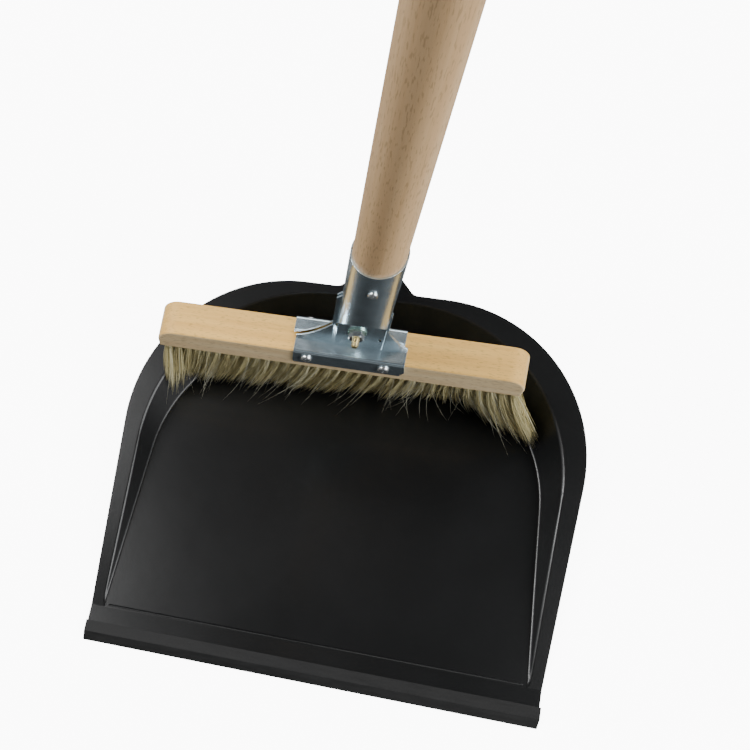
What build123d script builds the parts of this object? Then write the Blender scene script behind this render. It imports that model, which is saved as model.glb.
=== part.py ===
"""Long-handled dustpan and brush: a pressed steel pan, and a brush that stands in it on its bristles.

Millimetres. X runs across the pan, +Y from the rubber lip to the rear, +Z up.
The origin is on the ground, in the middle of the underside of the pan floor.
"""

import os
from math import atan2, cos, degrees, radians, sin, tan

from build123d import *

os.makedirs("parts", exist_ok=True)

# ---- driving dimensions ----------------------------------------------------

# pan, pressed from one sheet
SHEET = 1.0  # steel thickness
PAN_WIDTH = 272.0
PAN_DEPTH = 234.0  # lip edge to rear edge, without the tab
FLOOR_FRONT = 22.5  # lip edge to the bend where the floor starts
FLOOR_REAR = 217.0  # lip edge to the rear crease of the floor
FLOOR_FRONT_HALF = 128.5  # half width of the floor at the front bend
FLOOR_REAR_HALF = 111.0  # half width the floor sides taper towards
RIM_SLOPE = 8.3  # degrees, the flange rises towards the rear
WALL_DRAFT = 22.0  # degrees, the wall leans outward
OUTER_CORNER = 95.0
FLOOR_CORNER = 97.0
BASE_BEND = 1.6  # radius where floor meets wall
RIM_BEND = 1.6  # radius where wall meets flange
GROOVE_RADIUS = 0.8  # pressed line where floor and front strip meet
GROOVE_DEPTH = 0.3
GROOVE_HALF = 125.0
TAB_BASE_HALF = 21.5  # the tab on the rear edge that carries the socket
TAB_TOP_HALF = 5.0
TAB_DEPTH = 16.5
TAB_TOP_ROUND = 11.0
TAB_BASE_ROUND = 6.0

# rubber lip on the front edge
LIP_DEPTH = 12.6
LIP_GRIP = 6.0  # lip edge to the buried edge of the sheet
LIP_RISE = 1.5  # the sheet lifts this much from the bend to its front edge
LIP_LEG = 1.1  # rubber above the sheet
LIP_BEVEL = 5.5  # depth of the thinned front band
LIP_EDGE = 0.9  # thickness at the very front
LIP_CORNER = 0.4
LIP_OVERHANG = 0.6  # the rubber is a little wider than the pan

# handles and the sockets that hold them
HANDLE_RADIUS = 12.0
HANDLE_ROUND = 7.0  # radius round the top of a handle
HANDLE_CHAMFER = 0.8  # round its lower end
SOCKET_WALL = 0.8
SLIP = 0.05  # radial gap between wood and steel
HANG_HOLE_RADIUS = 3.0
HANG_HOLE_DROP = 22.0  # from the top of the handle
PAN_HANDLE_X = -1.5
PAN_HANDLE_Y = 237.5  # from the lip edge
PAN_HANDLE_TOP = 820.0
PAN_SOCKET_HEIGHT = 80.0
PAN_HANDLE_LIFT = 4.0  # lower end of the pan handle above the flange
PAN_SCREW_DROP = 12.0  # from the top of the socket to the screw that holds the handle
CUP_BOTTOM = 1.5  # thickness of the closed end of the pan socket
CUP_SCREW_RADIUS = 2.0
CUP_SCREW_LENGTH = 26.0
CUP_SCREW_HEAD_RADIUS = 4.0
CUP_SCREW_HEAD_HEIGHT = 2.2
CUP_WASHER_RADIUS = 7.0
CUP_WASHER_THICK = 1.0

# brush, measured from the axis of its handle and the top of its block
BRUSH_X = -6.0
BRUSH_Y = 183.0  # from the lip edge
BLOCK_BOTTOM = 51.0  # above the ground
BLOCK_HEIGHT = 17.0
BLOCK_WIDTH = 19.4
BLOCK_LEFT = -111.0
BLOCK_RIGHT = 91.5
BLOCK_ROUND = 11.0
BLOCK_EDGE = 1.0  # radius along the upper edges
BLOCK_LOWER_EDGE = 0.6  # chamfer along the lower edges
BRUSH_HANDLE_TOP = 780.0  # above the ground
TUFT_ROWS = 4
TUFTS_PER_ROW = 34
TUFT_PITCH_Y = 4.4
TUFT_HOLE_RADIUS = 1.7
TUFT_HOLE_DEPTH = 9.0
TUFT_EDGE = 5.0  # outermost tuft centre to the end of the block
ROW_THICK = 3.0
BRISTLE_GAP = 0.3  # bristles stay this far off block and floor

# two-part zinc-plated bracket, in the brush frame
PLATE_LEFT = -33.5
PLATE_RIGHT = 26.4
REAR_SHIFT = -1.6  # the plate of the rear half sits this far along X
PLATE_SHEET = 0.8
FLAP_DROP = 11.3
FLAP_CORNER = 1.5
FLAP_FLARE = 1.1  # the right end of the flap widens before it is cut off
FLAP_CUT = 4.4
FLAP_CUT_IN = 1.3
BEND_LINE = 2.5  # inner face of the upright wall, from the seam
SEAM = 0.5  # half the gap where the halves meet
SEAM_RIGHT = 0.15  # the right gussets are pressed closer together
WALL_HALF = 12.4  # half width of the flat upright wall
NECK_LEFT = -14.4  # the gussets end here, beside the wall
NECK_RIGHT = 12.9
GUSSET_END = 1.7  # height of a gusset at the end of the plate
GUSSET_TOP = 19.0  # and at the neck
GUSSET_CURVE = 1.6  # 1 would be a straight edge, more is more hollow
GUSSET_STEPS = 7
TUBE_FOOT = 19.5  # lower edge of the tube at the seam
TUBE_TOP = 86.0
SHOULDER_SLOPE = 62.0  # degrees, the tube's lower edge climbs away from the seam
HANDLE_SEAT = 44.0  # lower end of the brush handle
EAR_LEFT = -15.2  # outer edges of the two narrow flanges beside the tube
EAR_RIGHT = 13.9
EAR_TOP_LEFT = 48.5
EAR_TOP_RIGHT = 36.0
EAR_TOP_FALL = 3.5  # the ear's upper edge falls this much towards the outside
EAR_FOOT_DROP = 2.0  # its lower inner corner lies this much below the gusset's top
EAR_OVERLAP = 0.3  # into the wall of the tube

# fixings
BOLT_RADIUS = 2.0
BOLT_X = -1.8
BOLT_Z = 17.8
BOLT_END = 4.5  # thread showing beyond the nut
BOLT_HEAD_RADIUS = 4.0
BOLT_HEAD_HEIGHT = 2.4
BOLT_CHAMFER = 0.4
NUT_FLATS = 7.0
NUT_THICK = 3.2
NUT_CHAMFER = 0.5
WASHER_RADIUS = 4.9
WASHER_THICK = 0.8
FLAP_SCREW_LEFT = -26.0
FLAP_SCREW_RIGHT = 16.0
FLAP_SCREW_DROP = 4.8
SCREW_HEAD_RADIUS = 3.0
SCREW_HEAD_HEIGHT = 1.8
SCREW_SHANK_RADIUS = 1.4
FLAP_SCREW_LENGTH = 7.0
TOOL_HOLE_RADIUS = 1.2
TOOL_HOLE = (10.7, 11.8)
TUBE_SCREW_Z = 73.0
TUBE_SCREW_TURN = 3.5  # degrees to the right of straight ahead
SMALL_SCREW_HEAD_RADIUS = 2.3  # the screws that hold handles and clip
SMALL_SCREW_HEAD_HEIGHT = 1.4
SMALL_SCREW_RADIUS = 1.2
SMALL_SCREW_LENGTH = 9.0
SCREW_GAP = 0.02  # radial gap between a screw and its hole
HOLE_EXTRA = 0.3  # a screw hole is this much deeper than the screw
DRILL_RUNOUT = 2.0  # a drill starts this far outside the material

# clip on the pan handle that holds the brush handle
CLIP_Z = 610.0
CLIP_HEIGHT = 22.0
CLIP_WALL = 3.0
CLIP_BRIDGE = 9.0  # width of the web between ring and jaw
JAW_SLIP = 0.1
JAW_MOUTH = 100.0  # degrees left open towards the front

# ---- positions that follow from them ---------------------------------------

FRONT = -(FLOOR_FRONT + FLOOR_REAR) / 2.0  # Y of the lip edge
REAR = FRONT + PAN_DEPTH
BEND_Y = FRONT + FLOOR_FRONT
RIM_RISE = tan(radians(RIM_SLOPE))
PAN_AXIS = (PAN_HANDLE_X, FRONT + PAN_HANDLE_Y)
BRUSH_AXIS = (BRUSH_X, FRONT + BRUSH_Y)
BLOCK_TOP = BLOCK_BOTTOM + BLOCK_HEIGHT
TUBE_INNER = HANDLE_RADIUS + SLIP
TUBE_OUTER = TUBE_INNER + SOCKET_WALL
TALL = 400.0  # larger than the pan, for cutting tools


def rim_z(y):
    """Height of the upper face of the flange at a given Y."""
    return SHEET + (y - BEND_Y) * RIM_RISE


def rim_plane(x, y):
    """Plane lying on the flange at a given place, its Z along the flange normal."""
    return Plane(origin=(x, y, rim_z(y)), x_dir=(1, 0, 0), z_dir=(0, -RIM_RISE, 1))


def rod(radius, start, end):
    """Solid cylinder between two points."""
    run = Vector(*end) - Vector(*start)
    plane = Plane(origin=start, z_dir=run.normalized())
    return plane * extrude(Circle(radius), run.length)


def ring(outer, inner, height):
    """Upright tube standing on Z = 0."""
    return extrude(Circle(outer) - Circle(inner), height)


def yz_bar(points, left, right):
    """Bar along X whose cross section is given as (y, z) points."""
    profile = Plane.YZ * make_face(Polyline(*points, close=True))
    return Pos(left, 0, 0) * extrude(profile, right - left)


def phillips_screw(head_radius, head_height, shank_radius, shank_length):
    """Round-head cross-slot screw, head up, underside of the head on Z = 0."""
    head = extrude(Circle(head_radius), head_height)
    head = fillet(head.edges().group_by(Axis.Z)[-1], head_height * 0.8)
    slot = Box(head_radius * 1.1, head_radius * 0.26, head_height)
    slot += Box(head_radius * 0.26, head_radius * 1.1, head_height)
    head -= Pos(0, 0, head_height) * slot
    tip = min(2.0 * shank_radius, shank_length / 3.0)
    shank = Pos(0, 0, -shank_length + tip) * extrude(Circle(shank_radius), shank_length - tip)
    point = Pos(0, 0, -shank_length + tip / 2.0) * Cone(shank_radius * 0.3, shank_radius, tip)
    return head + shank + point


def save(node, shape):
    """Write one node, labelled with its name."""
    shape.label = node
    export_step(shape, f"parts/{node}.step")


# ---- pan -------------------------------------------------------------------


def floor_outline():
    """Upper face of the floor: tapering sides and two large rear corners."""
    face = make_face(
        Polyline(
            (-FLOOR_FRONT_HALF, BEND_Y),
            (FLOOR_FRONT_HALF, BEND_Y),
            (FLOOR_REAR_HALF, FRONT + FLOOR_REAR),
            (-FLOOR_REAR_HALF, FRONT + FLOOR_REAR),
            close=True,
        )
    )
    return fillet(face.vertices().group_by(Axis.Y)[-1], FLOOR_CORNER)


def outer_outline():
    """Outer edge of the flange with the tab in the middle of the rear edge."""
    half = PAN_WIDTH / 2.0
    plate = make_face(
        Polyline((-half, BEND_Y), (half, BEND_Y), (half, REAR), (-half, REAR), close=True)
    )
    plate = fillet(plate.vertices().group_by(Axis.Y)[-1], OUTER_CORNER)
    tab = make_face(
        Polyline(
            (-TAB_BASE_HALF, REAR - TAB_DEPTH),
            (TAB_BASE_HALF, REAR - TAB_DEPTH),
            (TAB_BASE_HALF, REAR),
            (TAB_TOP_HALF, REAR + TAB_DEPTH),
            (-TAB_TOP_HALF, REAR + TAB_DEPTH),
            (-TAB_BASE_HALF, REAR),
            close=True,
        )
    )
    outline = (plate + tab).face()
    outline = fillet([v for v in outline.vertices() if v.Y > REAR + 1.0], TAB_TOP_ROUND)
    base_corners = [v for v in outline.vertices() if abs(abs(v.X) - TAB_BASE_HALF) < 0.1 and v.Y > 0]
    return fillet(base_corners, TAB_BASE_ROUND)


def bowl(lift, grow, bend):
    """Tapered block in the shape of the basin, standing at Z = lift."""
    base = Pos(0, 0, lift) * (offset(floor_outline(), grow) if grow else floor_outline())
    block = extrude(base, TALL / 4.0, taper=-WALL_DRAFT)
    base_edges = [e for e in block.edges().group_by(Axis.Z)[0] if e.center().Y > BEND_Y + 1.0]
    return fillet(base_edges, bend)


def rim_crease(sheet):
    """Edges where the wall turns out into the flange, apart from the low front ends."""
    inside = offset(outer_outline(), -4.0).face()
    chosen = []
    for edge in sheet.edges():
        middle = edge.position_at(0.5)
        on_rim = abs(middle.Z - rim_z(middle.Y)) < 0.01
        if on_rim and middle.Y > BEND_Y + 20.0 and inside.is_inside((middle.X, middle.Y, 0)):
            chosen.append(edge)
    return chosen


def pan_body():
    """Floor, leaning wall, sloping flange and front strip as one pressed sheet."""
    below_rim = rim_plane(0, BEND_Y) * Pos(0, 0, -TALL / 2.0) * Box(TALL, 2.5 * TALL, TALL)
    behind_bend = Pos(0, BEND_Y + TALL / 2.0, 0) * Box(TALL, TALL, TALL)
    shell = bowl(0.0, 0.5 * SHEET, BASE_BEND + SHEET) & below_rim & behind_bend
    slab = rim_plane(0, BEND_Y) * Pos(0, 0, -SHEET / 2.0) * Box(TALL, 2.5 * TALL, SHEET)
    flange = extrude(outer_outline(), TALL / 4.0) & slab
    inner = bowl(SHEET, 0.0, BASE_BEND)
    sheet = shell + flange - inner
    sheet = fillet(rim_crease(sheet), RIM_BEND)
    grip = FRONT + LIP_GRIP
    strip = yz_bar(
        [
            (BEND_Y, 0.0),
            (BEND_Y, SHEET),
            (grip, SHEET + LIP_RISE),
            (grip, LIP_RISE),
        ],
        -PAN_WIDTH / 2.0,
        PAN_WIDTH / 2.0,
    )
    groove_z = SHEET + GROOVE_RADIUS - GROOVE_DEPTH
    groove = rod(
        GROOVE_RADIUS,
        (-GROOVE_HALF, BEND_Y + 2.0 * GROOVE_RADIUS, groove_z),
        (GROOVE_HALF, BEND_Y + 2.0 * GROOVE_RADIUS, groove_z),
    )
    return sheet + strip - groove - cup_screw_hole()


def rubber_lip():
    """Push-on rubber strip: a slot for the sheet and a thinned front edge."""
    slope = LIP_RISE / (FLOOR_FRONT - LIP_GRIP)

    def under(y):
        return slope * (FLOOR_FRONT - y)

    def over(y):
        return under(y) + SHEET

    profile = [
        (FRONT, 0.0),
        (FRONT + LIP_DEPTH, 0.0),
        (FRONT + LIP_DEPTH, under(LIP_DEPTH)),
        (FRONT + LIP_GRIP, under(LIP_GRIP)),
        (FRONT + LIP_GRIP, over(LIP_GRIP)),
        (FRONT + LIP_DEPTH, over(LIP_DEPTH)),
        (FRONT + LIP_DEPTH, over(LIP_DEPTH) + LIP_LEG),
        (FRONT + LIP_BEVEL, over(LIP_BEVEL) + LIP_LEG),
        (FRONT, LIP_EDGE),
    ]
    half = PAN_WIDTH / 2.0 + LIP_OVERHANG
    bar = yz_bar(profile, -half, half)
    front_corners = bar.edges().filter_by(Axis.Z).group_by(Axis.Y)[0]
    return chamfer(front_corners, LIP_CORNER)


# ---- socket and handle of the pan ------------------------------------------


def cup_screw_hole():
    """Hole for the screw that comes up through the tab and the socket into the handle."""
    drill = extrude(Circle(CUP_SCREW_RADIUS + SCREW_GAP), CUP_SCREW_LENGTH + DRILL_RUNOUT)
    return rim_plane(*PAN_AXIS) * Pos(0, 0, -SHEET - DRILL_RUNOUT) * drill


def pan_socket():
    """Steel cup: an upright tube whose closed end follows the flange."""
    top = rim_z(PAN_AXIS[1]) + PAN_SOCKET_HEIGHT
    above_rim = rim_plane(*PAN_AXIS) * Pos(0, 0, TALL / 2.0) * Box(TALL, TALL, TALL)
    inside = rim_plane(*PAN_AXIS) * Pos(0, 0, CUP_BOTTOM + TALL / 2.0) * Box(TALL, TALL, TALL)
    outer = Pos(*PAN_AXIS, 0) * extrude(Circle(TUBE_OUTER), top)
    inner = Pos(*PAN_AXIS, 0) * extrude(Circle(TUBE_INNER), top)
    cup = (outer & above_rim) - (inner & inside)
    return cup - cup_screw_hole() - screw_hole(pan_screw_plane())


def cup_washer():
    """Washer under the tab."""
    washer = ring(CUP_WASHER_RADIUS, CUP_SCREW_RADIUS + SCREW_GAP, CUP_WASHER_THICK)
    return rim_plane(*PAN_AXIS) * Pos(0, 0, -SHEET - CUP_WASHER_THICK) * washer


def cup_screw():
    """Screw from below through washer, tab and socket into the handle."""
    screw = phillips_screw(
        CUP_SCREW_HEAD_RADIUS, CUP_SCREW_HEAD_HEIGHT, CUP_SCREW_RADIUS, CUP_SCREW_LENGTH
    )
    return rim_plane(*PAN_AXIS) * Pos(0, 0, -SHEET - CUP_WASHER_THICK) * Rot(180, 0, 0) * screw


def dome(radius, height):
    """Low rounded head standing on Z = 0."""
    head = extrude(Circle(radius), height)
    return fillet(head.edges().group_by(Axis.Z)[-1], height * 0.85)


def handle(bottom, top, axis):
    """Turned beech rod with a rounded top and a hanging hole across it."""
    stick = Pos(*axis, bottom) * extrude(Circle(HANDLE_RADIUS), top - bottom)
    stick = fillet(stick.edges().group_by(Axis.Z)[-1], HANDLE_ROUND)
    stick = chamfer(stick.edges().group_by(Axis.Z)[0], HANDLE_CHAMFER)
    height = top - HANG_HOLE_DROP
    hole = rod(
        HANG_HOLE_RADIUS,
        (axis[0] - 2 * HANDLE_RADIUS, axis[1], height),
        (axis[0] + 2 * HANDLE_RADIUS, axis[1], height),
    )
    return stick - hole


def pan_handle():
    """Handle that stands in the pan socket."""
    bottom = rim_z(PAN_AXIS[1]) + PAN_HANDLE_LIFT
    stick = handle(bottom, PAN_HANDLE_TOP, PAN_AXIS)
    return stick - cup_screw_hole() - screw_hole(pan_screw_plane()) - screw_hole(clip_screw_plane())


def pan_screw_plane():
    """Outer face of the pan socket at its screw, Z pointing to the rear."""
    height = rim_z(PAN_AXIS[1]) + PAN_SOCKET_HEIGHT - PAN_SCREW_DROP
    return Plane(
        origin=(PAN_AXIS[0], PAN_AXIS[1] + TUBE_OUTER, height),
        x_dir=(1, 0, 0),
        z_dir=(0, 1, 0),
    )


def small_screw():
    """Screw that stops a handle turning in its socket."""
    return phillips_screw(
        SMALL_SCREW_HEAD_RADIUS, SMALL_SCREW_HEAD_HEIGHT, SMALL_SCREW_RADIUS, SMALL_SCREW_LENGTH
    )


def screw_hole(plane):
    """Hole for the shank of a small screw whose head sits on the plane."""
    depth = SMALL_SCREW_LENGTH + HOLE_EXTRA
    drill = extrude(Circle(SMALL_SCREW_RADIUS + SCREW_GAP), depth + DRILL_RUNOUT)
    return plane * Pos(0, 0, -depth) * drill


# ---- clip ------------------------------------------------------------------


def clip_frame():
    """Frame on the pan handle axis whose X points at the brush handle."""
    to_brush = (BRUSH_AXIS[0] - PAN_AXIS[0], BRUSH_AXIS[1] - PAN_AXIS[1])
    turn = degrees(atan2(to_brush[1], to_brush[0]))
    return Location((*PAN_AXIS, CLIP_Z), (0, 0, turn))


def clip_reach():
    """Distance between the two handle axes."""
    return (Vector(*BRUSH_AXIS) - Vector(*PAN_AXIS)).length


def clip_screw_plane():
    """Rear outer face of the clip ring, Z pointing away from the brush."""
    outer = HANDLE_RADIUS + SLIP + CLIP_WALL
    plane = Plane(origin=(-outer, 0, CLIP_HEIGHT / 2.0), x_dir=(0, 1, 0), z_dir=(-1, 0, 0))
    return clip_frame() * plane.location


def handle_clip():
    """Moulded clip: a closed ring on the pan handle and an open jaw for the brush."""
    reach = clip_reach()
    bore = HANDLE_RADIUS + SLIP
    jaw_bore = HANDLE_RADIUS + JAW_SLIP
    closed = Circle(bore + CLIP_WALL)
    jaw = Pos(reach, 0) * Circle(jaw_bore + CLIP_WALL)
    bridge = Pos(reach / 2.0, 0) * Rectangle(reach, CLIP_BRIDGE)
    section = closed + jaw + bridge - Circle(bore) - Pos(reach, 0) * Circle(jaw_bore)
    reach_out = 2 * (jaw_bore + CLIP_WALL)
    spread = reach_out * tan(radians(JAW_MOUTH / 2.0))
    mouth = make_face(
        Polyline(
            (reach, 0),
            (reach + reach_out, spread),
            (reach + reach_out, -spread),
            close=True,
        )
    )
    section -= mouth
    solid = extrude(section, CLIP_HEIGHT)
    return clip_frame() * solid - screw_hole(clip_screw_plane())


# ---- brush -----------------------------------------------------------------


def on_block(shape):
    """Move a shape from the brush frame (handle axis, block top) to the pan frame."""
    return Pos(*BRUSH_AXIS, BLOCK_TOP) * shape


def tuft_positions():
    """Centres of the tuft holes, row by row."""
    first = BLOCK_LEFT + TUFT_EDGE
    last = BLOCK_RIGHT - TUFT_EDGE
    pitch = (last - first) / (TUFTS_PER_ROW - 1)
    middle = (TUFT_ROWS - 1) / 2.0
    for row in range(TUFT_ROWS):
        y = (row - middle) * TUFT_PITCH_Y
        for index in range(TUFTS_PER_ROW):
            yield row, first + index * pitch, y


def brush_block():
    """Beech block, rounded over at both ends, drilled from below for the tufts."""
    face = make_face(
        Polyline(
            (BLOCK_LEFT, -BLOCK_HEIGHT),
            (BLOCK_RIGHT, -BLOCK_HEIGHT),
            (BLOCK_RIGHT, 0),
            (BLOCK_LEFT, 0),
            close=True,
        )
    )
    face = fillet(face.vertices().group_by(Axis.Y)[-1], BLOCK_ROUND)
    block = extrude(Plane.XZ * face, BLOCK_WIDTH / 2.0, both=True)
    long_edges = block.edges().filter_by(Axis.X).group_by(Axis.Z)[0]
    block = chamfer(long_edges, BLOCK_LOWER_EDGE)
    block = fillet(block.edges().filter_by(Axis.X).group_by(Axis.Z)[-1], BLOCK_EDGE)
    drill = extrude(Circle(TUFT_HOLE_RADIUS), TUFT_HOLE_DEPTH)
    drills = [Pos(x, y, -BLOCK_HEIGHT) * drill for _, x, y in tuft_positions()]
    block = block - drills
    pilots = [flap_screw_place(end, side) * pilot() for end in (-1, 1) for side in (-1, 1)]
    return on_block(block - pilots)


def bristle_row(row):
    """One row of tufts, simplified to a slab that stays clear of the basin."""
    middle = (TUFT_ROWS - 1) / 2.0
    y = (row - middle) * TUFT_PITCH_Y
    top = -BLOCK_HEIGHT - BRISTLE_GAP
    bottom = SHEET + BRISTLE_GAP - BLOCK_TOP
    left = BLOCK_LEFT + TUFT_EDGE - TUFT_HOLE_RADIUS
    right = BLOCK_RIGHT - TUFT_EDGE + TUFT_HOLE_RADIUS
    slab = Pos((left + right) / 2.0, y, (top + bottom) / 2.0)
    slab = on_block(slab * Box(right - left, ROW_THICK, top - bottom))
    return slab & bowl(SHEET + BRISTLE_GAP, -BRISTLE_GAP, BASE_BEND)


def flap_screw_place(end, side):
    """Place on the outer face of a flap; side -1 is the front half, 1 the rear."""
    x = FLAP_SCREW_LEFT if end < 0 else FLAP_SCREW_RIGHT
    if side > 0:
        x += REAR_SHIFT
    y = side * (BLOCK_WIDTH / 2.0 + PLATE_SHEET)
    plane = Plane(origin=(x, y, -FLAP_SCREW_DROP), x_dir=(1, 0, 0), z_dir=(0, side, 0))
    return plane.location


def pilot():
    """Pilot hole for a flap screw, a hair wider than its shank."""
    depth = FLAP_SCREW_LENGTH + HOLE_EXTRA
    return Pos(0, 0, -depth) * extrude(Circle(SCREW_SHANK_RADIUS + SCREW_GAP), depth + DRILL_RUNOUT)


def flap_screws(side):
    """The two round-head screws of one flap."""
    screw = phillips_screw(
        SCREW_HEAD_RADIUS, SCREW_HEAD_HEIGHT, SCREW_SHANK_RADIUS, FLAP_SCREW_LENGTH
    )
    return on_block(Compound(children=[flap_screw_place(end, side) * screw for end in (-1, 1)]))


def web_section(x, height, seam_y):
    """Cross section of the upright sheet at one X, from the bend line to its upper edge."""
    plane = Plane(origin=(x, 0, 0), x_dir=(0, 1, 0), z_dir=(1, 0, 0))
    return plane * make_face(
        Polyline(
            (-BEND_LINE, 0.0),
            (-BEND_LINE - PLATE_SHEET, 0.0),
            (seam_y - PLATE_SHEET, height),
            (seam_y, height),
            close=True,
        )
    )


def gusset(end, neck, wall, seam):
    """Sheet that leans in to the seam and climbs in a hollow curve from plate end to neck."""
    sections = []
    for step in range(GUSSET_STEPS):
        part = step / (GUSSET_STEPS - 1)
        height = GUSSET_END + (GUSSET_TOP - GUSSET_END) * part**GUSSET_CURVE
        sections.append(web_section(end + (neck - end) * part, height, -seam))
    sections.append(web_section(wall, GUSSET_TOP, -BEND_LINE))
    return loft(sections, ruled=True)


def shoulder_plane():
    """Plane of the tube's lower edge, its Z pointing into the tube."""
    slope = radians(SHOULDER_SLOPE)
    return Plane(origin=(0, -SEAM, TUBE_FOOT), x_dir=(1, 0, 0), z_dir=(0, sin(slope), cos(slope)))


def plate_and_flap(left, right):
    """Strip on top of the block and the flap down its side, bent round the block's edge."""
    face_y = -BLOCK_WIDTH / 2.0
    angle = make_face(
        Polyline(
            (face_y - PLATE_SHEET, -FLAP_DROP),
            (face_y - PLATE_SHEET, PLATE_SHEET),
            (-BEND_LINE, PLATE_SHEET),
            (-BEND_LINE, 0),
            (face_y, 0),
            (face_y, -FLAP_DROP),
            close=True,
        )
    )
    outside = angle.vertices().sort_by_distance((face_y - PLATE_SHEET, PLATE_SHEET, 0))[0]
    angle = fillet(outside, BLOCK_EDGE + PLATE_SHEET)
    inside = angle.vertices().sort_by_distance((face_y, 0, 0))[0]
    angle = fillet(inside, BLOCK_EDGE)
    strip = Pos(left, 0, 0) * extrude(Plane.YZ * angle, right + FLAP_FLARE - left)
    outline = make_face(
        Polyline(
            (left, TALL / 4.0),
            (left, -FLAP_DROP),
            (right - FLAP_CUT_IN, -FLAP_DROP),
            (right + FLAP_FLARE, -FLAP_DROP + FLAP_CUT),
            (right, 0),
            (right, TALL / 4.0),
            close=True,
        )
    )
    outline = fillet(outline.vertices().sort_by_distance((left, -FLAP_DROP, 0))[0], FLAP_CORNER)
    return strip & extrude(Plane.XZ * outline, TALL / 2.0)


def ear(side_x, tube_x, top):
    """Narrow flange beside the tube, flat against the seam."""
    outline = make_face(
        Polyline(
            (tube_x, GUSSET_TOP - EAR_FOOT_DROP),
            (side_x, GUSSET_TOP),
            (side_x, top - EAR_TOP_FALL),
            (tube_x, top),
            close=True,
        )
    )
    return Pos(0, -SEAM, 0) * extrude(Plane.XZ * outline, PLATE_SHEET)


def wall_drill(radius, x, z):
    """Drill along Y through the front wall of the bracket."""
    return rod(radius, (x, -BLOCK_WIDTH / 2.0, z), (x, 0, z))


def bracket_half(shift):
    """Front half of the bracket in the brush frame, its plate moved along X by shift."""
    left = PLATE_LEFT + shift
    right = PLATE_RIGHT + shift
    above = shoulder_plane() * Pos(0, 0, TALL / 2.0) * Box(TALL, TALL, TALL)
    below = shoulder_plane() * Pos(0, 0, PLATE_SHEET - TALL / 2.0) * Box(TALL, TALL, TALL)
    before_seam = Pos(0, -SEAM - TALL / 2.0, 0) * Box(TALL, TALL, TALL)
    before_wall = Pos(0, -BEND_LINE - TALL / 2.0, 0) * Box(TALL, TALL, TALL)
    half = plate_and_flap(left, right)
    half += gusset(left, NECK_LEFT, -WALL_HALF, SEAM)
    half += gusset(right, NECK_RIGHT, WALL_HALF, SEAM_RIGHT)
    wall = yz_bar(
        [
            (-BEND_LINE, 0.0),
            (-BEND_LINE, HANDLE_SEAT),
            (-BEND_LINE - PLATE_SHEET, HANDLE_SEAT),
            (-BEND_LINE - PLATE_SHEET, 0.0),
        ],
        -WALL_HALF,
        WALL_HALF,
    )
    half += wall & below
    half += extrude(Circle(TUBE_OUTER), TUBE_TOP) & above & below & before_wall
    half += ring(TUBE_OUTER, TUBE_INNER, TUBE_TOP) & above & before_seam
    half += ear(EAR_LEFT, -TUBE_INNER - EAR_OVERLAP, EAR_TOP_LEFT)
    half += ear(EAR_RIGHT, TUBE_INNER + EAR_OVERLAP, EAR_TOP_RIGHT)
    half -= wall_drill(BOLT_RADIUS + SCREW_GAP, BOLT_X, BOLT_Z)
    half -= [Pos(shift, 0, 0) * flap_screw_place(end, -1) * pilot() for end in (-1, 1)]
    return half


def bracket_front():
    """Front half, which also has a small tool hole and the hole for the handle screw."""
    half = bracket_half(0.0)
    half -= wall_drill(TOOL_HOLE_RADIUS, *TOOL_HOLE)
    half -= screw_hole(brush_screw_plane())
    return on_block(half)


def bracket_rear():
    """Rear half: the same pressing, mirrored."""
    return on_block(mirror(bracket_half(REAR_SHIFT), about=Plane.XZ))


def brush_screw_plane():
    """Front outer face of the bracket tube at its screw, in the brush frame."""
    turn = radians(TUBE_SCREW_TURN)
    return Plane(
        origin=(TUBE_OUTER * sin(turn), -TUBE_OUTER * cos(turn), TUBE_SCREW_Z),
        x_dir=(cos(turn), sin(turn), 0),
        z_dir=(sin(turn), -cos(turn), 0),
    )


def brush_handle():
    """Handle that stands in the bracket tube."""
    stick = handle(BLOCK_TOP + HANDLE_SEAT, BRUSH_HANDLE_TOP, BRUSH_AXIS)
    return stick - on_block(screw_hole(brush_screw_plane()))


def clamp_bolt():
    """Bolt through both walls of the bracket, its head at the rear."""
    wall = BEND_LINE + PLATE_SHEET
    end = -(wall + WASHER_THICK + NUT_THICK + BOLT_END)
    shank = rod(BOLT_RADIUS, (BOLT_X, wall, BOLT_Z), (BOLT_X, end, BOLT_Z))
    shank = chamfer(shank.edges().group_by(Axis.Y)[0], BOLT_CHAMFER)
    head_plane = Plane(origin=(BOLT_X, wall, BOLT_Z), z_dir=(0, 1, 0))
    return on_block(shank + head_plane * dome(BOLT_HEAD_RADIUS, BOLT_HEAD_HEIGHT))


def clamp_washer():
    """Flat washer against the front wall."""
    plane = Plane(origin=(BOLT_X, -BEND_LINE - PLATE_SHEET, BOLT_Z), z_dir=(0, -1, 0))
    return on_block(plane * ring(WASHER_RADIUS, BOLT_RADIUS + SCREW_GAP, WASHER_THICK))


def clamp_nut():
    """Hexagon nut on the washer, its corners chamfered."""
    start = -BEND_LINE - PLATE_SHEET - WASHER_THICK
    corner = NUT_FLATS / 2.0 / cos(radians(30.0))
    hexagon = extrude(RegularPolygon(corner, 6), NUT_THICK)
    rounder = extrude(Circle(corner), NUT_THICK)
    rounder = chamfer(rounder.edges().group_by(Axis.Z)[-1], NUT_CHAMFER)
    nut = (hexagon & rounder) - extrude(Circle(BOLT_RADIUS + SCREW_GAP), NUT_THICK)
    plane = Plane(origin=(BOLT_X, start, BOLT_Z), x_dir=(1, 0, 0), z_dir=(0, -1, 0))
    return on_block(plane * nut)


# ---- write every node ------------------------------------------------------

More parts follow.
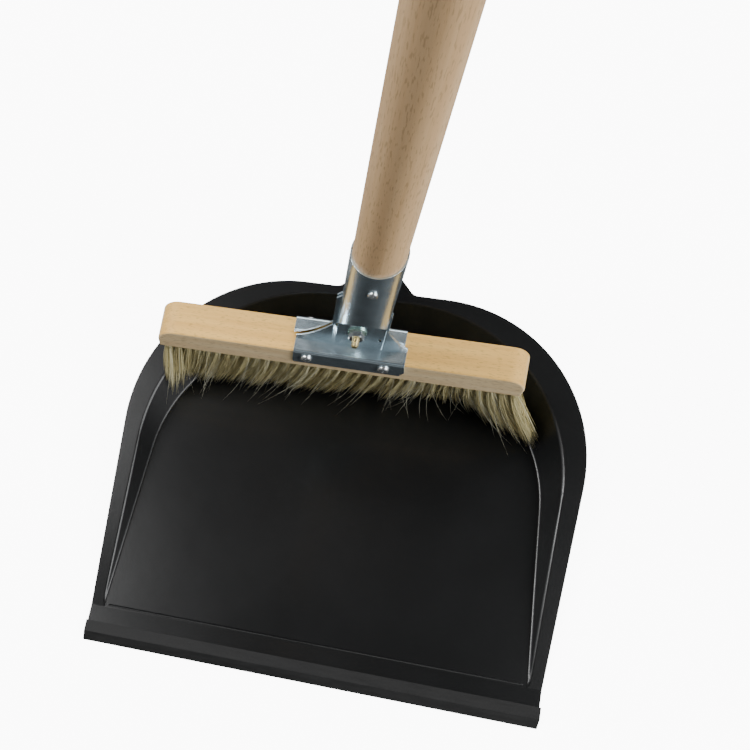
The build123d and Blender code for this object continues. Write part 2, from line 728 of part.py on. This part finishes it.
save("pan_body", pan_body())
save("rubber_lip", rubber_lip())
save("pan_socket", pan_socket())
save("pan_socket_screw", cup_screw())
save("pan_socket_washer", cup_washer())
save("pan_handle", pan_handle())
save("pan_handle_screw", pan_screw_plane() * small_screw())
save("handle_clip", handle_clip())
save("handle_clip_screw", clip_screw_plane() * small_screw())
save("brush_block", brush_block())
for number in range(TUFT_ROWS):
    save(f"bristle_row_{number + 1}", bristle_row(number))
save("bracket_front", bracket_front())
save("bracket_rear", bracket_rear())
save("flap_screws_front", flap_screws(-1))
save("flap_screws_rear", flap_screws(1))
save("brush_handle", brush_handle())
save("brush_handle_screw", on_block(brush_screw_plane() * small_screw()))
save("clamp_bolt", clamp_bolt())
save("clamp_washer", clamp_washer())
save("clamp_nut", clamp_nut())
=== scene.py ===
"""Looks for the long-handled dustpan and brush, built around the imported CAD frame. Metres."""

import math

import bpy
import numpy as np
from mathutils import Matrix, Vector


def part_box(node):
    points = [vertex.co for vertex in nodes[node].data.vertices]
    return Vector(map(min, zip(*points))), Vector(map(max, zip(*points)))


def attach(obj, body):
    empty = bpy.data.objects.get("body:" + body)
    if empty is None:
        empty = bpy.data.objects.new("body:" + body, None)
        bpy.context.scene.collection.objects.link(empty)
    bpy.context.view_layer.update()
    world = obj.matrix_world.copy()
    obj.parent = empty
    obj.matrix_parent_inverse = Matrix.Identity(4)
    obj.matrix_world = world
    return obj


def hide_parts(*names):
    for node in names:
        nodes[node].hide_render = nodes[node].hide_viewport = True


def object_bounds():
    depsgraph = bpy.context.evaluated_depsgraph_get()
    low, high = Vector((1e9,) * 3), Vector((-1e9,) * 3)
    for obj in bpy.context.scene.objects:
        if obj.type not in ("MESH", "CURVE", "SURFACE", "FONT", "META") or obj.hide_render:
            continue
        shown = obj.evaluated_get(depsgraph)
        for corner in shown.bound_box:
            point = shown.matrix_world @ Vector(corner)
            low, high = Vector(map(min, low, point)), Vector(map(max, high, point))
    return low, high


MM = 0.001
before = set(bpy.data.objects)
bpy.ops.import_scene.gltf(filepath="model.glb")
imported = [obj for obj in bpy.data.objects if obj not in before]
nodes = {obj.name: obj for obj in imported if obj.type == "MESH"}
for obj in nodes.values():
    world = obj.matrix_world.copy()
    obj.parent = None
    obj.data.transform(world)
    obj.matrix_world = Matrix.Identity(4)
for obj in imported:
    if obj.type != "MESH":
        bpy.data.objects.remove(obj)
cad_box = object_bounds()

# basin of the pan, as in the CAD: the bristles stop short of its wall to stay inside it
FLOOR_TOP = 1.0 * MM
CORNER_X = 22.3 * MM  # centre of the rear corners' arcs, left and right
CORNER_Y = 0.25 * MM
CORNER_RADIUS = 97.0 * MM
SIDE_TAPER = 17.5 / 194.5  # the floor widens towards the lip
SIDE_HALF = 119.7 * MM  # half width of the floor where the rear corners begin
WALL_LEAN = math.tan(math.radians(22.0))

# bristles
TUFTS_PER_ROW = 34
HAIRS_PER_TUFT = 105
HAIR_RINGS = 7
END_MARGIN = 5.0 * MM  # from the block's ends to the first and last tuft
HOLE_RADIUS = 1.6 * MM
HOLE_DEPTH = 2.0 * MM  # how far above the block's underside the hairs begin
HAIR_ROOT = 0.14 * MM
HAIR_TIP = 0.05 * MM
PAN_CLEARANCE = 0.5 * MM
TRIAL_STEPS = 40
RIGHT_FAN = (1.0, 0.8, 0.45, 0.25)  # the rear rows fan out less at the right end
ROW_SPLAY = 0.12  # tips move away from the block's middle by this share of the row's distance
TUFT_SPREAD = (0.9 * MM, 0.6 * MM)  # scatter in X and Y that a tuft's hairs share
HAIR_SPREAD = (1.5 * MM, 1.2 * MM)  # scatter in X and Y of each hair
HAIR_SHORTER = 2.2 * MM
HAIR_BEND = (1.05, 1.45)
HAIR_WAVE = 0.10 * MM
HAIR_WAVES = 1.2  # waves along a hair
TUFT_OPENING = 1.3  # a tuft's width grows by this share once it has left its hole
OPEN_AFTER = 0.35  # fraction of the hairs' length where a tuft is fully open
TONE = 0.55  # middle of the hairs' colour ramp, from 0 to 1
TONE_SPREAD = 0.2
TUFT_TONE_SPREAD = 0.10

# loose hairs stand out of the tufts; most are in the front row
LOOSE_SHARES = (0.022, 0.006, 0.006, 0.006)
LOOSE_SPREAD = 6.0 * MM
LOOSE_REACH = (3.0 * MM, 14.0 * MM)
LOOSE_EXTRA_BEND = 0.7
LOOSE_THINNESS = 0.45

# clamp bolt
THREAD_RADIUS = 1.96 * MM
THREAD_DEPTH = 0.34 * MM
THREAD_PITCH = 0.7 * MM
POINT_LENGTH = 0.8 * MM  # the bolt's end narrows over this length
POINT_DEPTH = 0.4 * MM
HEAD_HEIGHT = 2.4 * MM
# radius and rise of the head in mm, from the shank outwards
HEAD_OUTLINE = ((2.0, 0.0), (4.0, 0.0), (4.0, 0.9), (3.7, 1.6), (2.9, 2.15), (1.6, 2.38))
CORNERS_AROUND = 20
RINGS_PER_TURN = 6

# studio
BACKDROP_GLOW = 9.0  # how brightly the camera alone sees floor and surroundings
FLOOR_SIZE = 6.0
FLOOR_GAP = 0.5 * MM
LIGHT_TARGET = (0.0, 0.0, 0.1)
AHEAD = (-0.50, -0.87, 0.0)  # direction of the dim part in front, left of the pan's lip

# the photo's viewpoint
CAMERA_PLACE = Vector((-0.0164, -0.1462, 0.4938))
CAMERA_AIM = Vector((-0.08553, -0.09748, 0.0))
CAMERA_ROLL = math.radians(-11.68)
CAMERA_LENS = 38.9
CAMERA_SENSOR = 36.0
CAMERA_SHIFT = (0.2734, 0.3263)

rng = np.random.default_rng(11)


# ---- node helpers ----------------------------------------------------------


class Nodes:
    """Short way to build a node tree."""

    def __init__(self, tree):
        self.tree = tree

    def add(self, kind, inputs=None, **settings):
        """Add a node, set its properties and plug or set its inputs."""
        node = self.tree.nodes.new(kind)
        for key, value in settings.items():
            setattr(node, key, value)
        for key, value in (inputs or {}).items():
            self.plug(node, key, value)
        return node

    def plug(self, node, key, value):
        """Link a socket or store a constant in an input."""
        if isinstance(value, bpy.types.NodeSocket):
            self.tree.links.new(value, node.inputs[key])
        else:
            node.inputs[key].default_value = value

    def position(self, scale=(1, 1, 1)):
        """Object position, stretched per axis."""
        where = self.add("ShaderNodeTexCoord")
        stretch = self.add("ShaderNodeMapping", {"Vector": where.outputs["Object"], "Scale": scale})
        return stretch.outputs["Vector"]

    def noise(self, vector, scale, detail=4.0, rough=0.5, distortion=0.0):
        """Value of a noise texture."""
        inputs = {
            "Vector": vector,
            "Scale": scale,
            "Detail": detail,
            "Roughness": rough,
            "Distortion": distortion,
        }
        return self.add("ShaderNodeTexNoise", inputs).outputs["Fac"]

    def ramp(self, value, stops):
        """Colour ramp through (position, colour) stops."""
        node = self.add("ShaderNodeValToRGB", {"Fac": value})
        elements = node.color_ramp.elements
        while len(elements) < len(stops):
            elements.new(0.5)
        for element, (place, colour) in zip(elements, stops):
            element.position = place
            element.color = (*colour, 1.0)
        return node.outputs["Color"]

    def span(self, value, low, high, start=0.0, end=1.0, curve="LINEAR"):
        """Map value from low..high to start..end."""
        inputs = {
            "Value": value,
            "From Min": low,
            "From Max": high,
            "To Min": start,
            "To Max": end,
        }
        return self.add("ShaderNodeMapRange", inputs, interpolation_type=curve).outputs["Result"]

    def mix(self, factor, first, second, blend="MIX"):
        """Mix two colours; a mix node's colour sockets are inputs 6 and 7 and output 2."""
        inputs = {0: factor, 6: first, 7: second}
        return self.add("ShaderNodeMix", inputs, data_type="RGBA", blend_type=blend).outputs[2]

    def times(self, first, second):
        """Product of two values."""
        return self.add("ShaderNodeMath", {0: first, 1: second}, operation="MULTIPLY").outputs[0]


class Material(Nodes):
    """Node tree of a new material, with its shader."""

    def __init__(self, name):
        self.material = bpy.data.materials.new(name)
        self.material.use_nodes = True
        super().__init__(self.material.node_tree)
        self.shader = self.tree.nodes["Principled BSDF"]

    def set(self, key, value):
        """Plug or set an input of the shader."""
        self.plug(self.shader, key, value)

    def round_edges(self, radius):
        """Let light catch the edges as if they were rounded."""
        self.set("Normal", self.add("ShaderNodeBevel", {"Radius": radius}, samples=6).outputs["Normal"])

    def bump(self, height, strength, distance):
        """Bump the shader's normal by a height value."""
        inputs = {"Height": height, "Strength": strength, "Distance": distance}
        if self.shader.inputs["Normal"].links:
            inputs["Normal"] = self.shader.inputs["Normal"].links[0].from_socket
        self.set("Normal", self.add("ShaderNodeBump", inputs).outputs["Normal"])


def grey(value):
    """A neutral colour."""
    return (value, value, value)


# ---- materials -------------------------------------------------------------


def powder_coat():
    """Satin black powder coat with a faint orange peel and a slightly cloudy sheen."""
    m = Material("powder_coat")
    at = m.position()
    cloud = m.noise(at, 9.0, 5.0)
    m.set("Base Color", m.ramp(cloud, [(0.3, (0.0030, 0.0031, 0.0032)), (0.75, (0.0044, 0.0046, 0.0049))]))
    m.set("Roughness", m.span(cloud, 0.3, 0.75, 0.29, 0.35))
    m.set("Specular IOR Level", 0.36)
    m.set("Coat Weight", 0.15)
    m.set("Coat Roughness", 0.13)
    m.round_edges(0.5 * MM)
    m.bump(m.noise(at, 900.0, 2.0), 0.10, 0.0002)
    m.bump(m.noise(at, 60.0, 2.0), 0.10, 0.0006)
    return m.material


def lip_rubber():
    """Matt black rubber with a fine moulded grain and paler rubbed dust."""
    m = Material("lip_rubber")
    at = m.position()
    dust = m.noise(m.position((3, 20, 20)), 14.0, 8.0, 0.65)
    m.set("Base Color", m.ramp(dust, [(0.35, grey(0.006)), (0.8, grey(0.013))]))
    m.set("Roughness", m.span(dust, 0.3, 0.7, 0.52, 0.68))
    m.set("Specular IOR Level", 0.28)
    m.bump(m.noise(at, 1400.0, 3.0), 0.25, 0.0002)
    return m.material


def beech(name, along, pale, dark, coat, side=(1.0, 1.0, 1.0)):
    """Beech with long grain along an axis (0 is X, 2 is Z) and short dark ray flecks.

    side is a tint for the faces that don't look up: a painted cool fill light, put into their colour in
    place of lamp light on them.
    """
    m = Material(name)
    stretch = [1.0, 1.0, 1.0]
    stretch[along] = 0.045
    grain = m.noise(m.position(stretch), 260.0, 6.0, 0.6, 0.4)
    broad = m.noise(m.position(stretch), 38.0, 3.0, 0.5, 0.8)
    fleck_scale = [1.0, 1.0, 1.0]
    fleck_scale[along] = 0.20
    fleck = m.noise(m.position(fleck_scale), 1500.0, 2.0, 0.4)
    wood = m.ramp(grain, [(0.25, dark), (0.62, pale)])
    warm = tuple(c * f for c, f in zip(pale, (0.93, 0.86, 0.78)))
    wood = m.mix(m.span(broad, 0.42, 0.66), wood, m.mix(0.6, wood, (*warm, 1.0)))
    fleck_colour = tuple(c * 0.62 for c in dark)
    wood = m.mix(m.span(fleck, 0.57, 0.66, 0.0, 0.5), wood, (*fleck_colour, 1.0))
    # painted light: faces that don't look up are tinted by side, a cool fill light painted into the colour
    facing = m.add("ShaderNodeNewGeometry").outputs["True Normal"]
    upward = m.add("ShaderNodeSeparateXYZ", {"Vector": facing}).outputs["Z"]
    tint = m.mix(m.span(upward, 0.2, 0.7), (*side, 1.0), (1.0, 1.0, 1.0, 1.0))
    m.set("Base Color", m.mix(1.0, wood, tint, "MULTIPLY"))
    m.set("Roughness", m.span(grain, 0.2, 0.8, 0.58, 0.44))
    m.set("Coat Weight", coat)
    m.set("Coat Roughness", 0.35)
    m.round_edges(0.6 * MM)
    m.bump(grain, 0.18, 0.0003)
    return m.material


def bright_zinc(name, tint, rough_low, rough_high):
    """Bright zinc plate: mirror-like with soft mottling and rolling marks."""
    m = Material(name)
    at = m.position()
    mottle = m.noise(at, 120.0, 4.0, 0.6)
    brushed = m.noise(m.position((14, 300, 300)), 6.0, 5.0, 0.6)
    darker = tuple(c * 0.86 for c in tint)
    m.set("Base Color", m.ramp(mottle, [(0.35, darker), (0.65, tint)]))
    m.set("Metallic", 0.9)
    m.set("Roughness", m.span(m.mix(0.5, mottle, brushed), 0.3, 0.7, rough_low, rough_high))
    m.round_edges(0.15 * MM)
    m.bump(m.noise(at, 90.0, 2.0), 0.14, 0.0008)
    m.bump(brushed, 0.04, 0.0002)
    return m.material


def clip_plastic():
    """Moulded black plastic with a fine spark-eroded texture."""
    m = Material("clip_plastic")
    at = m.position()
    m.set("Base Color", m.ramp(m.noise(at, 30.0), [(0.3, grey(0.014)), (0.7, grey(0.020))]))
    m.set("Roughness", m.span(m.noise(at, 200.0), 0.3, 0.7, 0.42, 0.55))
    m.bump(m.noise(at, 1600.0, 2.0), 0.2, 0.0002)
    return m.material


def bristle_fibre():
    """Natural bristle: straw to olive, each hair its own tone, a little sheen along it."""
    m = Material("bristle_fibre")
    tone = m.add("ShaderNodeAttribute", attribute_name="tone").outputs["Fac"]
    stops = [
        (0.0, (0.38, 0.30, 0.135)),
        (0.35, (0.63, 0.54, 0.27)),
        (0.75, (0.80, 0.73, 0.43)),
        (1.0, (0.95, 0.92, 0.72)),
    ]
    m.set("Base Color", m.ramp(tone, stops))
    m.set("Roughness", m.span(m.noise(m.position(), 400.0), 0.3, 0.7, 0.38, 0.6))
    m.set("Specular IOR Level", 0.35)
    return m.material


def studio_floor():
    """Plain floor: glowing white to the camera, dark grey to all that mirrors it."""
    m = Material("studio_floor")
    seen = m.add("ShaderNodeLightPath").outputs["Is Camera Ray"]
    white = m.ramp(m.noise(m.position(), 2.0), [(0.3, grey(0.88)), (0.7, grey(0.90))])
    m.set("Base Color", m.mix(seen, (*grey(0.12), 1.0), white))
    m.set("Emission Color", (1.0, 1.0, 1.0, 1.0))
    m.set("Emission Strength", m.span(seen, 0.0, 1.0, 0.0, BACKDROP_GLOW))
    m.set("Roughness", 0.75)
    return m.material


# ---- bristles --------------------------------------------------------------


def room_in_basin(points):
    """Distance from each point to the leaning wall of the pan, negative beyond it."""
    x, y, z = np.moveaxis(points, -1, 0)
    grow = np.clip(z - FLOOR_TOP, 0.0, None) * WALL_LEAN
    dx = np.clip(np.abs(x) - CORNER_X, 0.0, None)
    dy = np.clip(y - CORNER_Y, 0.0, None)
    at_corner = CORNER_RADIUS + grow - np.hypot(dx, dy)
    at_side = SIDE_HALF + SIDE_TAPER * (CORNER_Y - y) + grow - np.abs(x)
    return np.where(y > CORNER_Y, at_corner, at_side)


def tuft_lean(place):
    """How far the tips move in X and Y, for a place from -1 (left end) to 1 (right end)."""
    stations = [-1.0, -0.95, -0.90, -0.84, -0.50, 0.10, 0.40, 0.60, 0.70, 0.78, 0.85, 0.92, 1.0]
    lean_x = [-3.0, -4.0, -7.0, -10.0, -14.0, -11.0, -4.0, 3.0, 11.0, 18.0, 24.0, 27.0, 29.0]
    lean_y = [-12.0, -5.0, 0.0, 4.0, 5.5, 8.0, 11.0, 12.5, 12.0, 8.0, 0.0, -5.0, -7.5]
    return np.interp(place, stations, lean_x) * MM, np.interp(place, stations, lean_y) * MM


def hair_mesh(name, paths, radii, tones):
    """One mesh of three-sided tapering hairs along paths (hair, ring, xyz)."""
    count, rings, _ = paths.shape
    along = np.gradient(paths, axis=1)
    along /= np.linalg.norm(along, axis=2, keepdims=True)
    first = np.cross(along, np.array([0.25, 1.0, 0.1]))
    first /= np.linalg.norm(first, axis=2, keepdims=True)
    second = np.cross(along, first)
    corners = []
    for k in range(3):
        angle = 2.0 * math.pi * k / 3.0
        offset = math.cos(angle) * first + math.sin(angle) * second
        corners.append(paths + offset * radii[:, :, None])
    verts = np.stack(corners, 2).reshape(-1, 3)
    base = (np.arange(count) * rings * 3)[:, None]
    quads = []
    for ring in range(rings - 1):
        for k in range(3):
            a = ring * 3 + k
            b = ring * 3 + (k + 1) % 3
            quads.append([a, b, b + 3, a + 3])
    quads = (np.array(quads).reshape(1, -1) + base).reshape(-1, 4)
    last = (rings - 1) * 3
    caps = (np.array([0, 2, 1, last, last + 1, last + 2]).reshape(1, -1) + base).reshape(-1, 3)
    mesh = bpy.data.meshes.new(name)
    mesh.from_pydata(verts.tolist(), [], quads.tolist() + caps.tolist())
    tone = mesh.attributes.new("tone", "FLOAT", "POINT")
    tone.data.foreach_set("value", np.repeat(tones, rings * 3).astype(np.float32))
    for polygon in mesh.polygons:
        polygon.use_smooth = True
    obj = bpy.data.objects.new(name, mesh)
    bpy.context.scene.collection.objects.link(obj)
    return obj


def hole_scatter(count):
    """Random places in a round tuft hole, as offsets in X and Y."""
    angle = rng.uniform(0, 2 * math.pi, count)
    radius = HOLE_RADIUS * np.sqrt(rng.uniform(0, 1, count))
    return radius * np.cos(angle), radius * np.sin(angle)


def tip_shifts(row, tuft, place, splay):
    """How far each hair's tip moves in X and Y, and which hairs are loose."""
    count = len(tuft)
    tuft_x = rng.normal(0, TUFT_SPREAD[0], TUFTS_PER_ROW)[tuft]
    tuft_y = rng.normal(0, TUFT_SPREAD[1], TUFTS_PER_ROW)[tuft]
    lean_x, lean_y = tuft_lean(place)
    lean_x = np.where(lean_x > 0, lean_x * RIGHT_FAN[row], lean_x)
    shift_x = lean_x + tuft_x + rng.normal(0, HAIR_SPREAD[0], count)
    shift_y = lean_y + tuft_y + splay + rng.normal(0, HAIR_SPREAD[1], count)
    loose = rng.uniform(0, 1, count) < LOOSE_SHARES[row]
    shift_x = np.where(loose, shift_x + rng.normal(0, LOOSE_SPREAD, count), shift_x)
    shift_y = np.where(loose, shift_y - rng.uniform(*LOOSE_REACH, count), shift_y)
    return shift_x, shift_y, loose


def free_length(hair_at, count):
    """Fraction of each hair that stays clear of the pan's wall."""
    trial = np.broadcast_to(np.linspace(0, 1, TRIAL_STEPS), (count, TRIAL_STEPS))
    free = np.logical_and.accumulate(room_in_basin(hair_at(trial)) > PAN_CLEARANCE, axis=1)
    return np.maximum(free.sum(axis=1) - 1, 1) / (TRIAL_STEPS - 1)


def bristle_row(row, material):
    """All tufts of one row, standing in the block's holes and spreading on the pan floor."""
    number = row + 1
    low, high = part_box(f"bristle_row_{number}")
    block_low, block_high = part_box("brush_block")
    first = block_low.x + END_MARGIN
    last = block_high.x - END_MARGIN
    row_y = 0.5 * (low.y + high.y)
    middle_y = 0.5 * (block_low.y + block_high.y)
    root_z = block_low.z + HOLE_DEPTH
    count = TUFTS_PER_ROW * HAIRS_PER_TUFT
    tuft = np.repeat(np.arange(TUFTS_PER_ROW), HAIRS_PER_TUFT)
    place = tuft / (TUFTS_PER_ROW - 1) * 2.0 - 1.0
    centre_x = first + (last - first) * tuft / (TUFTS_PER_ROW - 1)
    across, along = hole_scatter(count)
    shift_x, shift_y, loose = tip_shifts(row, tuft, place, (row_y - middle_y) * ROW_SPLAY)
    short = np.where(loose, 0.0, np.abs(rng.normal(0, HAIR_SHORTER, count)))
    drop = root_z - FLOOR_TOP - PAN_CLEARANCE - short
    bend = (rng.uniform(*HAIR_BEND, count) + np.where(loose, LOOSE_EXTRA_BEND, 0.0))[:, None]
    wave = rng.normal(0, HAIR_WAVE, (count, 2))

    def hair_at(t):
        """Points at the given fractions of each hair's length."""
        ease = t**bend
        spread = 1.0 + TUFT_OPENING * np.minimum(1.0, t / OPEN_AFTER)
        ripple = np.sin(2.0 * math.pi * HAIR_WAVES * t)
        x = centre_x[:, None] + across[:, None] * spread + shift_x[:, None] * ease
        y = row_y + along[:, None] * spread + shift_y[:, None] * ease
        z = root_z - drop[:, None] * t
        return np.stack([x + wave[:, :1] * ripple, y + wave[:, 1:] * ripple, z], -1)

    steps = np.linspace(0, 1, HAIR_RINGS)
    paths = hair_at(free_length(hair_at, count)[:, None] * steps[None, :])
    radii = np.interp(steps, [0, 0.7, 1], [HAIR_ROOT, HAIR_ROOT * 0.9, HAIR_TIP])
    radii = np.where(loose, LOOSE_THINNESS, 1.0)[:, None] * radii[None, :]
    tuft_tone = rng.normal(0, TUFT_TONE_SPREAD, TUFTS_PER_ROW)[tuft]
    # painted light: loose hairs take the palest tone to make up for the shade that thin hairs fall in
    tones = np.where(loose, 1.0, np.clip(rng.normal(TONE, TONE_SPREAD, count) + tuft_tone, 0, 1))
    tufts = hair_mesh(f"bristle_tufts_{number}", paths, radii, tones)
    tufts.data.materials.append(material)
    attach(tufts, "brush")
    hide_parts(f"bristle_row_{number}")


# ---- clamp bolt with a real thread -----------------------------------------


def thread_radius(y, end_y, corner):
    """Radius of the threaded shank at one of the corners around it; its point is at end_y."""
    phase = (y / THREAD_PITCH + corner / CORNERS_AROUND) % 1.0
    cut = abs(2.0 * phase - 1.0)
    taper = min(1.0, (y - end_y) / POINT_LENGTH)
    return THREAD_RADIUS - THREAD_DEPTH * cut - (1.0 - taper) * POINT_DEPTH


def threaded_bolt(material):
    """Bolt with a helical thread and a domed head, in place of the plain CAD shank."""
    low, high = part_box("clamp_bolt")
    head_y = high.y - HEAD_HEIGHT
    length = head_y - low.y
    shank_rings = int(length / THREAD_PITCH * RINGS_PER_TURN)
    verts = []

    def add_ring(y, radii):
        """Corners around the bolt's axis."""
        for corner, radius in enumerate(radii):
            angle = 2.0 * math.pi * corner / CORNERS_AROUND
            x = 0.5 * (low.x + high.x) + radius * math.cos(angle)
            z = 0.5 * (low.z + high.z) + radius * math.sin(angle)
            verts.append((x, y, z))

    for ring in range(shank_rings + 1):
        y = low.y + length * ring / shank_rings
        add_ring(y, [thread_radius(y, low.y, corner) for corner in range(CORNERS_AROUND)])
    for radius, rise in HEAD_OUTLINE:
        add_ring(head_y + rise * MM, [radius * MM] * CORNERS_AROUND)

    faces = []
    for start in range(0, len(verts) - CORNERS_AROUND, CORNERS_AROUND):
        for corner in range(CORNERS_AROUND):
            a = start + corner
            b = start + (corner + 1) % CORNERS_AROUND
            faces.append((a, a + CORNERS_AROUND, b + CORNERS_AROUND, b))
    faces.append(tuple(range(CORNERS_AROUND)))
    faces.append(tuple(reversed(range(len(verts) - CORNERS_AROUND, len(verts)))))
    mesh = bpy.data.meshes.new("clamp_bolt_threaded")
    mesh.from_pydata(verts, [], faces)
    mesh.materials.append(material)
    bolt = bpy.data.objects.new("clamp_bolt_threaded", mesh)
    bpy.context.scene.collection.objects.link(bolt)
    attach(bolt, "brush")
    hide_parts("clamp_bolt")


# ---- dress the frame -------------------------------------------------------


def paint(material, *names):
    """Give CAD nodes a material."""
    for name in names:
        data = nodes[name].data
        data.materials.clear()
        data.materials.append(material)


paint(powder_coat(), "pan_body", "pan_socket")
paint(lip_rubber(), "rubber_lip")
# the block's side tint is painted cool fill light on its front, back and ends
paint(
    beech("beech_block", 0, (0.88, 0.54, 0.145), (0.69, 0.37, 0.08), 0.0, side=(1.1, 1.42, 3.2)),
    "brush_block",
)
paint(
    beech("beech_handle", 2, (0.70, 0.47, 0.25), (0.56, 0.35, 0.17), 0.1),
    "brush_handle",
    "pan_handle",
)
paint(
    bright_zinc("zinc_bracket", (0.66, 0.79, 0.86), 0.18, 0.28),
    "bracket_front",
    "bracket_rear",
)
paint(
    bright_zinc("zinc_fixings", (0.84, 0.86, 0.86), 0.08, 0.20),
    "flap_screws_front",
    "flap_screws_rear",
    "brush_handle_screw",
    "pan_handle_screw",
    "pan_socket_screw",
    "pan_socket_washer",
    "handle_clip_screw",
    "clamp_nut",
)
paint(bright_zinc("zinc_green", (0.60, 0.82, 0.70), 0.20, 0.34), "clamp_washer")
paint(clip_plastic(), "handle_clip")

fibre = bristle_fibre()
for row in range(len(RIGHT_FAN)):
    bristle_row(row, fibre)
threaded_bolt(bright_zinc("zinc_yellow", (0.80, 0.68, 0.36), 0.18, 0.34))


# ---- studio ----------------------------------------------------------------


def lay_floor():
    """Large plain floor just below the object."""
    bpy.ops.mesh.primitive_plane_add(size=FLOOR_SIZE, location=(0, 0, cad_box[0][2] - FLOOR_GAP))
    ground = bpy.context.object
    ground.name = "studio_floor"
    ground.data.materials.append(studio_floor())


def studio_world():
    """Soft surroundings, bright at both sides, dim overhead and ahead; near white to the camera."""
    world = bpy.data.worlds.new("studio")
    bpy.context.scene.world = world
    world.use_nodes = True
    w = Nodes(world.node_tree)
    where = w.add("ShaderNodeTexCoord").outputs["Generated"]
    split = w.add("ShaderNodeSeparateXYZ", {0: where})
    side = w.add("ShaderNodeMath", {0: split.outputs["X"]}, operation="ABSOLUTE").outputs[0]
    ahead = w.add("ShaderNodeVectorMath", {0: where, 1: AHEAD}, operation="DOT_PRODUCT")
    at_sides = w.span(side, 0.15, 0.95, 0.24, 1.38, "SMOOTHSTEP")
    but_ahead = w.span(ahead.outputs["Value"], 0.35, 0.95, 1.0, 0.05, "SMOOTHSTEP")
    but_overhead = w.span(split.outputs["Z"], 0.74, 0.97, 1.0, 0.10, "SMOOTHSTEP")
    glow = w.times(w.times(at_sides, but_ahead), but_overhead)
    seen = w.add("ShaderNodeLightPath").outputs["Is Camera Ray"]
    # a mix node's value sockets are inputs 2 and 3 and output 0
    strength = w.add("ShaderNodeMix", {0: seen, 2: glow, 3: BACKDROP_GLOW}, data_type="FLOAT")
    background = w.tree.nodes["Background"]
    w.plug(background, "Color", (0.94, 0.97, 1.0, 1.0))
    w.plug(background, "Strength", strength.outputs[0])


def softbox(name, place, size, power):
    """Large soft light aimed at the object."""
    data = bpy.data.lights.new(name, "AREA")
    data.shape = "RECTANGLE"
    data.size, data.size_y = size
    data.energy = power
    lamp = bpy.data.objects.new(name, data)
    lamp.location = place
    lamp.rotation_euler = (Vector(LIGHT_TARGET) - Vector(place)).to_track_quat("-Z", "Y").to_euler()
    bpy.context.scene.collection.objects.link(lamp)


def shift_lens(camera, axis, amount):
    """Shift the lens while the camera stands in its place; seen from elsewhere the lens is centred."""
    marker = bpy.data.objects.new("place_for_" + axis, None)
    marker.location = CAMERA_PLACE
    bpy.context.scene.collection.objects.link(marker)
    setattr(camera.data, axis, amount)
    curve = camera.data.driver_add(axis)
    curve.driver.type = "AVERAGE"
    distance = curve.driver.variables.new()
    distance.type = "LOC_DIFF"
    distance.targets[0].id = camera
    distance.targets[1].id = marker
    while curve.modifiers:
        curve.modifiers.remove(curve.modifiers[0])
    curve.keyframe_points.insert(0.0, amount)
    curve.keyframe_points.insert(0.1, 0.0)


def photo_camera():
    """Camera at the photo's viewpoint, turned and rolled like the photo."""
    data = bpy.data.cameras.new("camera")
    data.sensor_width = CAMERA_SENSOR
    data.lens = CAMERA_LENS
    data.clip_start = 0.01
    camera = bpy.data.objects.new("camera", data)
    bpy.context.scene.collection.objects.link(camera)
    forward = (CAMERA_AIM - CAMERA_PLACE).normalized()
    right = forward.cross(Vector((0, 1, 0))).normalized()
    up = right.cross(forward)
    rolled_up = math.cos(CAMERA_ROLL) * up + math.sin(CAMERA_ROLL) * right
    rolled_right = forward.cross(rolled_up)
    turn = Matrix((rolled_right, rolled_up, -forward)).transposed()
    camera.matrix_world = Matrix.Translation(CAMERA_PLACE) @ turn.to_4x4()
    bpy.context.scene.camera = camera
    shift_lens(camera, "shift_x", CAMERA_SHIFT[0])
    shift_lens(camera, "shift_y", CAMERA_SHIFT[1])


lay_floor()
studio_world()
softbox("left_box", (-1.0, 0.12, 1.35), (0.4, 0.8), 25.0)
softbox("right_box", (1.35, -0.35, 0.95), (0.9, 1.3), 27.0)
softbox("rear_box", (0.1, 1.5, 1.2), (1.4, 0.9), 12.0)
photo_camera()
